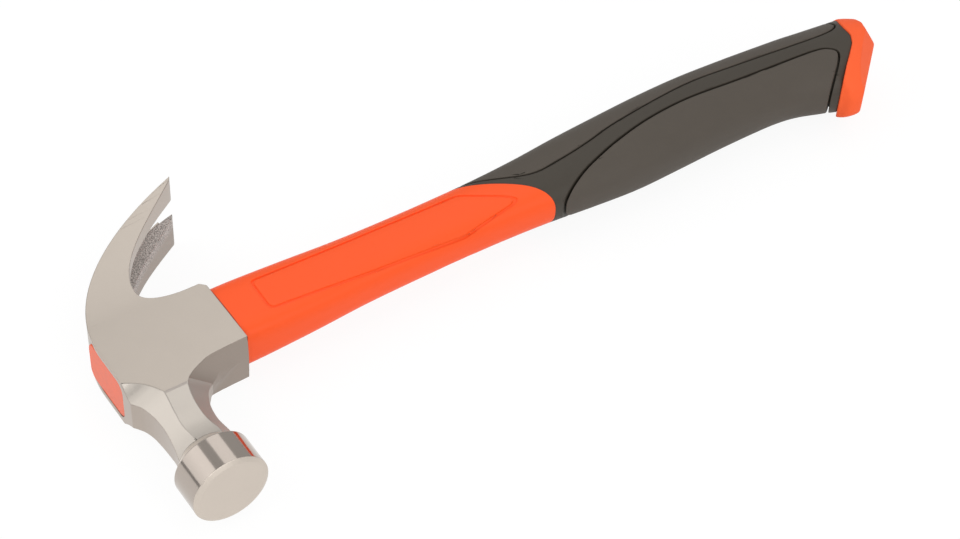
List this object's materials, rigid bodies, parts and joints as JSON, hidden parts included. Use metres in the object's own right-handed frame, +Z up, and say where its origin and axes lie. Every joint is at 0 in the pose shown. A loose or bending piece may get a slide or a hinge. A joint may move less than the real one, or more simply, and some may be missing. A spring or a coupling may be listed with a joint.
{
  "type": "curved-claw nail hammer",
  "caption": "Nail hammer with a curved split claw, octagonal neck and round face, on a sleeved fibreglass handle with a soft two-part grip and a butt cap.",
  "frame": {"origin": "centre of the base of the box round the hammer, which lies on its side on the surface", "axes": "+X along the handle from the head to the butt, +Y from the striking face to the claw, +Z up out of the upper cheek"},
  "size_m": [0.3456, 0.1251, 0.034],
  "materials": {
    "forged_steel": "satin brushed cheeks, polished poll, rough slot walls",
    "orange_resin": "glossy",
    "fibreglass": "matt",
    "orange_sleeve": "semi-gloss",
    "grip_frame": "matt",
    "grip_pad": "matt, softer sheen",
    "orange_cap": "satin"
  },
  "bodies": {
    "root": {"head": "forged_steel", "eye_resin": "orange_resin", "fibreglass_core": "fibreglass", "shaft_jacket": "orange_sleeve", "grip_body": "grip_frame", "back_pad": "grip_pad", "palm_pad": "grip_pad", "butt_cap": "orange_cap"}
  },
  "joints": []
}
